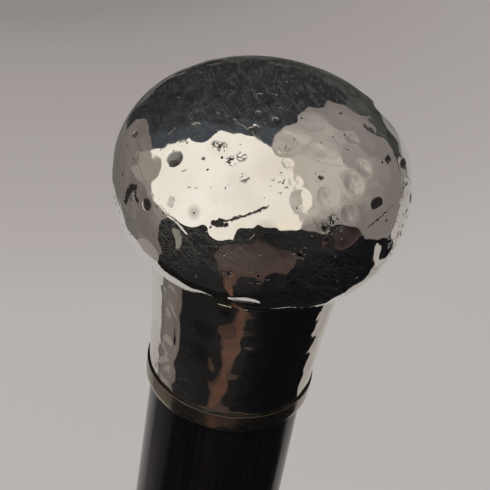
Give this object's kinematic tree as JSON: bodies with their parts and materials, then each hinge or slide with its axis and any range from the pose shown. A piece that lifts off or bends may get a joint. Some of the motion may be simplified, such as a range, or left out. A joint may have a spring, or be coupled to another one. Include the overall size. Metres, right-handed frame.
{
  "type": "walking cane",
  "caption": "Walking cane with a hammered silver ball knob on a flared silver collar, a tapered black wooden shaft and a brass ferrule with a steel tip.",
  "frame": {"origin": "centre of the knob's widest circle, on the cane's axis, where the palm closes on the knob", "axes": "+Z along the shaft from the ferrule up to the knob's crown; the pieces are turned about Z, and the ferrule's two pins lie along X"},
  "size_m": [0.04, 0.04, 0.9],
  "materials": {
    "silver": "polished, hammered silver sheet with fine scratches and dark tarnish in its pits",
    "pitch": "dull dark brown cast pitch, hidden inside the knob",
    "iron": "dark plain iron, hidden inside the knob",
    "black_wood": "glossy black polish over close-grained wood",
    "brass": "worn satin brass",
    "steel": "scuffed steel"
  },
  "bodies": {
    "root": {"knob_cap": "silver", "knob_bowl": "silver", "collar": "silver", "collar_band": "silver", "knob_filling": "pitch", "knob_screw": "iron", "shaft": "black_wood", "ferrule": "brass", "ferrule_pin_1": "brass", "ferrule_pin_2": "brass", "ferrule_tip": "steel"}
  },
  "joints": []
}
